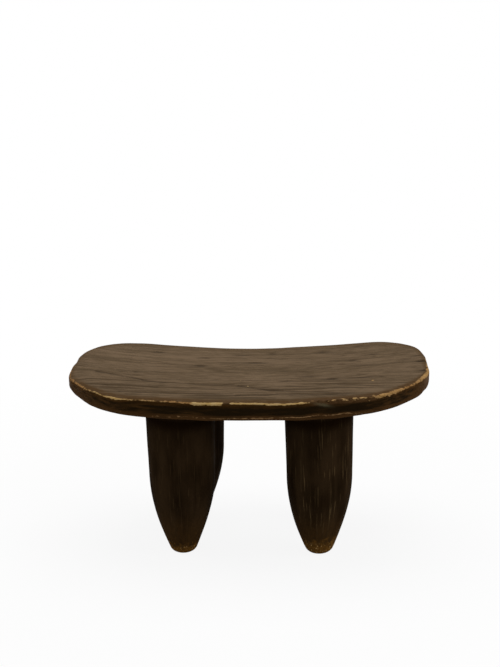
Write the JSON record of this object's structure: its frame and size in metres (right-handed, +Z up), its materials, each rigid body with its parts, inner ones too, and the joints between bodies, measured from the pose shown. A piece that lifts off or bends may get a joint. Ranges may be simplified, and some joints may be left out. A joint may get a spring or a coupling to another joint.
{
  "type": "low wooden stool",
  "caption": "Low wooden stool with a dished, rounded oblong seat slab on thick bullet-shaped legs, joined by blind wedged tenons.",
  "frame": {"origin": "on the floor, under the middle of the seat's length and depth", "axes": "+X along the seat to the right, +Y from its front edge to its back edge, +Z up"},
  "size_m": [0.5326, 0.287, 0.2731],
  "materials": {
    "seat_wood": "worn wax over mid-brown hardwood, golden where the edges are rubbed",
    "leg_wood": "near-black brown patina, satin, orange-brown at the worn feet",
    "wedge_wood": "bare wood"
  },
  "bodies": {
    "root": {"seat": "seat_wood", "front_left_leg": "leg_wood", "front_right_leg": "leg_wood", "rear_left_leg": "leg_wood", "rear_right_leg": "leg_wood", "front_left_wedge": "wedge_wood", "front_right_wedge": "wedge_wood", "rear_left_wedge": "wedge_wood", "rear_right_wedge": "wedge_wood"}
  },
  "joints": []
}
